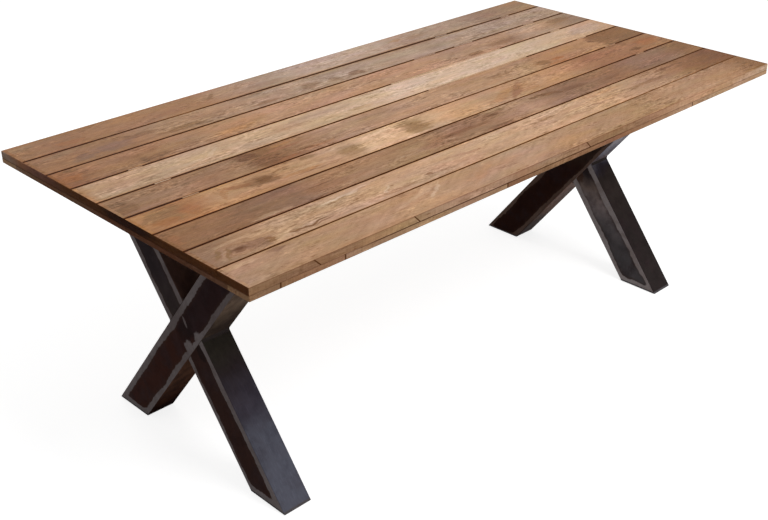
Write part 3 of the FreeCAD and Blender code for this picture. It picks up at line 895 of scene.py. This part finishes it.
# An arm's faces that look along X: their width, and the line that their middle follows.
ARM_WIDTH = 0.105
ARM_LEAN = 574.0 / 727.0
LEAN_COS = math.cos(math.atan(ARM_LEAN))
FOOT_CENTRE = 0.296
CROSSING_LEVEL = 0.375

# How the ground bands on those faces meet and wander.
CORNER_BLEND = 0.012
FOOT_BLEND = 0.020
BAND_WOBBLE = 0.022
BAND_NIBBLE = 0.008
BAND_EDGE = 0.0016
FRINGE_REACH = 0.012

# Millimetres. A Mark's length and width are the whole mark's, and a Band has its width at the
# floor and at the crossing. An Arm's side is 1 where its foot is at the rear and -1 where it is
# in front. Its foot is how high the ground area at its lower end reaches.
Mark = namedtuple("Mark", "y z length width tilt tint strength")
Band = namedtuple("Band", "at_floor at_crossing tint")
Arm = namedtuple("Arm", "side side_gloss rear front foot centre sides marks bloom",
                 defaults=((), SCALE_BLOOM))


class Steel(Graph):
    """Mill scale, with or without ground areas."""

    def __init__(self, name):
        super().__init__(name)
        self.nibble = self.noise(self.position, 3.0, 0.6, 70.0)
        self.mottle = self.noise(self.position, 5.0, 0.62, 26.0)

    def scale(self, tones, bloom):
        """Mill scale whose tone changes up the height; on several arms those tones are partly
        painted reflection, highlight, light and shade. tones are (millimetres, name).
        """
        level = self.jitter(self.z, self.noise(self.position, 3.0, 0.55, 9.0), SCALE_DRIFT)
        stops = [(place * MM, STEEL[tone]) for place, tone in tones]
        tint = self.colour_line(level, stops, 0.0, top_level)
        cloud = self.noise(self.position, 4.0, 0.6, 17.0)
        tint = self.mix(self.ramp(cloud, 0.44, 0.66, 0.0, bloom), tint, STEEL["bloom"])
        tint = self.toned(tint, self.mottle, 0.42, 0.68, 0.55, SCALE_MOTTLE)
        brushed = self.noise(self.vector("MULTIPLY", self.position, BRUSHED_CELLS), 4.0, 0.6)
        return self.toned(tint, brushed, 0.45, 0.75, 0.45, SCALE_SHEEN)

    def bands(self, spec):
        """Room to the ground bands along both edges and at the foot, below zero inside them."""
        middle = self.math("MULTIPLY_ADD", self.z, -ARM_LEAN * spec.side, FOOT_CENTRE * spec.side)
        offset = self.math("MULTIPLY", self.math("SUBTRACT", self.y, middle), LEAN_COS)
        rooms = []
        for band, direction in ((spec.rear, -1.0), (spec.front, 1.0)):
            widths = (band.at_floor * MM, band.at_crossing * MM)
            width = self.ramp(self.z, 0.0, CROSSING_LEVEL, *widths)
            room = self.math("MULTIPLY_ADD", offset, direction, ARM_WIDTH / 2)
            rooms.append(self.math("SUBTRACT", room, width))
        room = self.math("SMOOTH_MIN", *rooms, CORNER_BLEND)
        above_foot = self.math("SUBTRACT", self.z, spec.foot * MM)
        room = self.math("SMOOTH_MIN", room, above_foot, FOOT_BLEND)
        room = self.jitter(room, self.noise(self.position, 2.0, 0.5, 11.0), BAND_WOBBLE)
        return self.jitter(room, self.nibble, BAND_NIBBLE), offset

    def mark_mask(self, mark):
        """A soft-edged oval in the plane of the frame. tilt is degrees up from the rear."""
        offset = self.vector("SUBTRACT", self.position, (0.0, mark.y * MM, mark.z * MM))
        turned = self.turn(offset, math.radians(-mark.tilt), (1.0, 0.0, 0.0))
        size = (0.0, 2.0 / (mark.length * MM), 2.0 / (mark.width * MM))
        distance = self.vector("LENGTH", self.vector("MULTIPLY", turned, size))
        return self.ramp(self.jitter(distance, self.nibble, 1.2), 0.75, 1.15, mark.strength, 0.0)


def flat_steel(name, spec):
    """The two faces that look along X: dark scale, ground bright in bands along the edges. On the
    far frame the centre's paler middle height is painted light, and the bright bands are partly
    painted highlight.
    """
    steel = Steel(name + "_flat_steel")
    room, offset = steel.bands(spec)
    ground = steel.ramp(room, BAND_EDGE, -BAND_EDGE)
    tint = steel.scale(spec.centre, SCALE_BLOOM)
    tint = steel.mix(steel.ramp(room, FRINGE_REACH, 0.0, 0.0, 0.35), tint, STEEL["fringe"])
    for mark in spec.marks:
        mask = steel.mark_mask(mark)
        if mark.tint == "ground":
            ground = steel.math("MAXIMUM", ground, mask)
        else:
            tint = steel.mix(mask, tint, STEEL[mark.tint])
    towards_rear = steel.ramp(offset, -CORNER_BLEND, CORNER_BLEND)
    bright = steel.mix(towards_rear, STEEL[spec.front.tint], STEEL[spec.rear.tint])
    tarnish = steel.noise(steel.position, 3.0, 0.6, 7.0)
    bright = steel.toned(bright, tarnish, 0.42, 0.62, 0.7, GROUND_TARNISH)
    scratches = steel.noise(steel.vector("MULTIPLY", steel.position, SCRATCH_CELLS), 3.0, 0.6)
    bright = steel.toned(bright, scratches, 0.35, 0.7, 0.6, GROUND_SCRATCH)
    bright = steel.toned(bright, steel.mottle, 0.45, 0.7, 0.5, GROUND_MOTTLE)
    gloss = steel.math("MULTIPLY_ADD", steel.mottle, 0.22, 0.30)
    return steel.finish(
        Base_Color=steel.mix(ground, tint, bright),
        Roughness=steel.math("MULTIPLY_ADD", ground, 0.10, gloss),
        Metallic=steel.math("MULTIPLY", ground, 0.15),
        Specular_IOR_Level=STEEL_GLOSS,
        bump=steel.math("MULTIPLY_ADD", scratches, ground, steel.mottle),
    )


def side_steel(name, spec):
    """The narrow faces of an arm: dull mill scale, whose tones up the height carry painted
    reflection, light and shade.
    """
    steel = Steel(name + "_side_steel")
    return steel.finish(
        Base_Color=steel.scale(spec.sides, spec.bloom),
        Roughness=steel.math("MULTIPLY_ADD", steel.mottle, 0.22, 0.36),
        Specular_IOR_Level=spec.side_gloss,
        bump=steel.mottle,
    )


NEAR_CENTRE = [(330, "scale"), (380, "red_black"), (640, "red_black"), (720, "brown")]
NEAR_LOWER_CENTRE = [(0, "dun")]
UPPER_CENTRE = [(0, "scale"), (400, "smoke"), (520, "violet")]
# Blue-grey towards the foot, fading to dark near the crossing: painted reflection of the floor and
# lamps.
NEAR_SIDES = [(165, "blue"), (240, "slate"), (295, "violet"), (340, "green")]
# The rust and copper browns on the lower part are painted reflection, not rust; shade near the
# crossing is painted shade, and the warm tone at the top is painted light under the table top.
THROUGH_SIDES = [(40, "foot"), (80, "rust"), (180, "copper"), (300, "copper"), (360, "shade"),
                 (430, "shade"), (520, "warm")]
# Lighter than the scale around it: painted light in the shaded V above the crossing.
INNER_SIDES = [(0, "red")]
# Lighter up the height, pink to near white at the top: painted reflection of the white floor and
# sky.
FAR_THROUGH_SIDES = [(70, "foot"), (140, "copper"), (210, "rose"), (290, "pink"), (350, "rose"),
                     (430, "pale"), (520, "sky")]
FAR_THROUGH_CENTRE = [(340, "foot"), (420, "dusk"), (720, "slate")]
# The smoke stops lift the shade below the crossing as painted light; slate and pale at the top are
# painted highlight and reflection.
FAR_SIDES = [(200, "umber"), (290, "smoke"), (330, "smoke"), (360, "slate"), (390, "pale")]
# Paler from 140 to 295 mm: painted light that lifts the shade below the crossing, not wear.
FAR_CENTRE = [(140, "grey"), (190, "worn"), (245, "dull"), (295, "drab"), (345, "violet"),
              (720, "scale")]

ARMS = {
    "near_through_arm": Arm(
        side=1, side_gloss=0.0, foot=20, centre=NEAR_CENTRE, sides=THROUGH_SIDES,
        rear=Band(16, 19, "ground"), front=Band(17, 15, "ground"),
        marks=[Mark(-50, 376, 36, 26, 128, "ground", 1.0),
               Mark(-8, 330, 44, 36, 128, "ground", 1.0),
               Mark(0, 399, 30, 10, 62, "ground", 0.9), Mark(0, 372, 80, 56, 128, "black", 0.5)]),
    "near_lower_arm": Arm(
        side=-1, side_gloss=0.01, foot=22, centre=NEAR_LOWER_CENTRE, sides=NEAR_SIDES, bloom=0.2,
        rear=Band(12, 16, "ground"), front=Band(19, 21, "ground"),
        marks=[Mark(-60, 335, 50, 34, 52, "black", 0.8)]),
    "near_upper_arm": Arm(
        side=-1, side_gloss=0.01, foot=22, centre=UPPER_CENTRE, sides=INNER_SIDES,
        rear=Band(16, 19, "ground"), front=Band(18, 20, "ground")),
    "far_through_arm": Arm(
        side=1, side_gloss=0.006, foot=8, centre=FAR_THROUGH_CENTRE, sides=FAR_THROUGH_SIDES,
        rear=Band(13, 12, "brown_ground"), front=Band(14, 13, "brown_ground")),
    "far_lower_arm": Arm(
        side=-1, side_gloss=0.01, foot=20, centre=FAR_CENTRE, sides=FAR_SIDES,
        # bright_ground is ground steel made paler: partly painted highlight along the corners.
        rear=Band(18, 22, "bright_ground"), front=Band(15, 24, "bright_ground"),
        marks=[Mark(-20, 322, 56, 40, 52, "brown", 0.7)]),
    "far_upper_arm": Arm(
        side=-1, side_gloss=0.01, foot=22, centre=FAR_CENTRE, sides=FAR_SIDES,
        rear=Band(16, 16, "ground"), front=Band(16, 16, "ground")),
}


def dress_arm(name, spec):
    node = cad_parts[name]
    node.data.materials.clear()
    node.data.materials.append(side_steel(name, spec))
    node.data.materials.append(flat_steel(name, spec))
    for polygon in node.data.polygons:
        polygon.material_index = 1 if abs(polygon.normal.x) > 0.9 else 0


def plain_steel(name, tint, gloss):
    steel = Graph(name + "_steel")
    mottle = steel.noise(steel.position, 5.0, 0.6, 40.0)
    return steel.finish(
        Base_Color=steel.toned(STEEL[tint], mottle, 0.4, 0.7, 0.6, PLAIN_MOTTLE),
        Roughness=steel.math("MULTIPLY_ADD", mottle, 0.2, gloss),
        Specular_IOR_Level=STEEL_GLOSS,
        bump=mottle,
    )


def bead_steel(name):
    """A weld bead: dark oxide with paler ripples."""
    steel = Graph(name)
    mottle = steel.noise(steel.position, 4.0, 0.6, 300.0)
    return steel.finish(
        Base_Color=steel.mix(steel.ramp(mottle, 0.35, 0.7), STEEL["bead"], STEEL["violet"]),
        Roughness=steel.math("MULTIPLY_ADD", mottle, 0.2, 0.3),
        Specular_IOR_Level=STEEL_GLOSS * 2,
        bump=mottle,
    )


def dress_frames():
    for name, spec in ARMS.items():
        dress_arm(name, spec)
    for end in ("near", "far"):
        dress(end + "_foot_caps", plain_steel(end + "_caps", "grey", 0.30))
        dress(end + "_crossing_welds", bead_steel(end + "_crossing_bead"))
        dress(end + "_plate_welds", bead_steel(end + "_plate_bead"))
        dress(end + "_top_plate", plain_steel(end + "_plate", "black", 0.35))


# ---- Fasteners and pads ----
ZINC = palette(
    frame_bolts=(178, 180, 184),
    bolt_washers=(186, 187, 188),
    batten_screws=(176, 172, 150),
    threaded_inserts=(190, 180, 150),
)
ZINC_MOTTLE = (0.75, 0.75, 0.77, 1.0)
RUBBER = palette(dark=(20, 20, 20), worn=(34, 33, 32))


def dress_fasteners():
    for name, tint in ZINC.items():
        zinc = Graph(name + "_zinc")
        grainy = zinc.noise(zinc.position, 4.0, 0.6, 260.0)
        dress(name, zinc.finish(
            Base_Color=zinc.toned(tint, grainy, 0.35, 0.7, 0.5, ZINC_MOTTLE),
            Roughness=zinc.math("MULTIPLY_ADD", grainy, 0.2, 0.25),
            Metallic=0.9,
            bump=grainy,
            bump_depth=0.00005,
        ))


def dress_pads():
    rubber = Graph("pad_rubber")
    speckle = rubber.noise(rubber.position, 3.0, 0.6, 900.0)
    dress("foot_pads", rubber.finish(
        Base_Color=rubber.mix(rubber.ramp(speckle, 0.4, 0.7), RUBBER["dark"], RUBBER["worn"]),
        Roughness=rubber.math("MULTIPLY_ADD", speckle, 0.2, 0.7),
        bump=speckle,
        bump_depth=0.0001,
    ))


# ---- Floor, light and camera ----
FLOOR_SIZE = 60.0
FLOOR_LEVEL = -0.0002
FLOOR_GREY = (0.46, 0.46, 0.46, 1.0)
FLOOR_LIFT = 0.82
WORLD_LIGHT = 0.36
SKY_WHITE = (1.0, 1.0, 1.0, 1.0)


def seen_directly(tree):
    """1 for camera, glossy and transmission rays, and 0 for the light that bounces."""
    path = add_node(tree, "LightPath", {})
    total = path.outputs["Is Camera Ray"]
    for name in ("Is Glossy Ray", "Is Transmission Ray"):
        inputs = {0: total, 1: path.outputs[name]}
        total = add_node(tree, "Math", inputs, operation="MAXIMUM").outputs[0]
    return total


def make_floor():
    """A pale floor that keeps the table's shadow and is lifted to white where it is seen."""
    bpy.ops.mesh.primitive_plane_add(size=FLOOR_SIZE, location=(0, 0, FLOOR_LEVEL))
    floor = bpy.context.object
    floor.name = "floor"
    material = bpy.data.materials.new("pale_floor")
    tree = empty_tree(material)
    paint = add_node(tree, "BsdfDiffuse", {"Color": FLOOR_GREY})
    inputs = {0: seen_directly(tree), 1: FLOOR_LIFT}
    lift = add_node(tree, "Math", inputs, operation="MULTIPLY")
    glow = add_node(tree, "Emission", {"Strength": lift.outputs[0]})
    both = add_node(tree, "AddShader", {0: paint.outputs[0], 1: glow.outputs[0]})
    add_node(tree, "OutputMaterial", {"Surface": both.outputs[0]})
    floor.data.materials.append(material)


def make_world():
    world = bpy.data.worlds.new("studio")
    bpy.context.scene.world = world
    tree = empty_tree(world)
    inputs = {0: seen_directly(tree), 3: WORLD_LIGHT, 4: 1.0}
    strength = add_node(tree, "MapRange", inputs)
    inputs = {"Color": SKY_WHITE, "Strength": strength.outputs[0]}
    sky = add_node(tree, "Background", inputs)
    add_node(tree, "OutputWorld", {"Surface": sky.outputs[0]})


def softbox(name, place, aim, size, power):
    lamp = bpy.data.lights.new(name, "AREA")
    lamp.shape = "SQUARE"
    lamp.size = size
    lamp.energy = power
    item = bpy.data.objects.new(name, lamp)
    bpy.context.collection.objects.link(item)
    item.location = place
    item.rotation_euler = (Vector(aim) - Vector(place)).to_track_quat("-Z", "Y").to_euler()


def make_lamps():
    softbox("key", place=(0.45, -2.3, 3.7), aim=(0.1, 0.0, 0.5), size=2.2, power=122.0)
    softbox("rear_fill", place=(0.8, 3.6, 2.6), aim=(0.0, 0.0, 0.5), size=2.2, power=24.0)


CAMERA_PLACE = (-2.2237, -2.1450, 1.8913)
CAMERA_AIM = (-0.2465, -0.1103, 0.4)
CAMERA_ROLL = 0.142
LENS = 55.03


def make_camera():
    """The camera stands off the near front corner and looks down at the table."""
    data = bpy.data.cameras.new("camera")
    data.lens = LENS
    data.sensor_width = 36.0
    data.clip_end = 200.0
    camera = bpy.data.objects.new("camera", data)
    bpy.context.collection.objects.link(camera)
    view = Vector(CAMERA_AIM) - Vector(CAMERA_PLACE)
    look = view.to_track_quat("-Z", "Y").to_matrix().to_4x4()
    roll = Matrix.Rotation(math.radians(-CAMERA_ROLL), 4, "Z")
    camera.matrix_world = Matrix.Translation(CAMERA_PLACE) @ look @ roll
    bpy.context.scene.camera = camera


bpy.context.scene.view_settings.view_transform = "Standard"
dress_boards()
dress_slips()
dress_long_strips()
dress_end_strips()
dress_battens()
dress_frames()
dress_fasteners()
dress_pads()
make_floor()
make_world()
make_lamps()
make_camera()
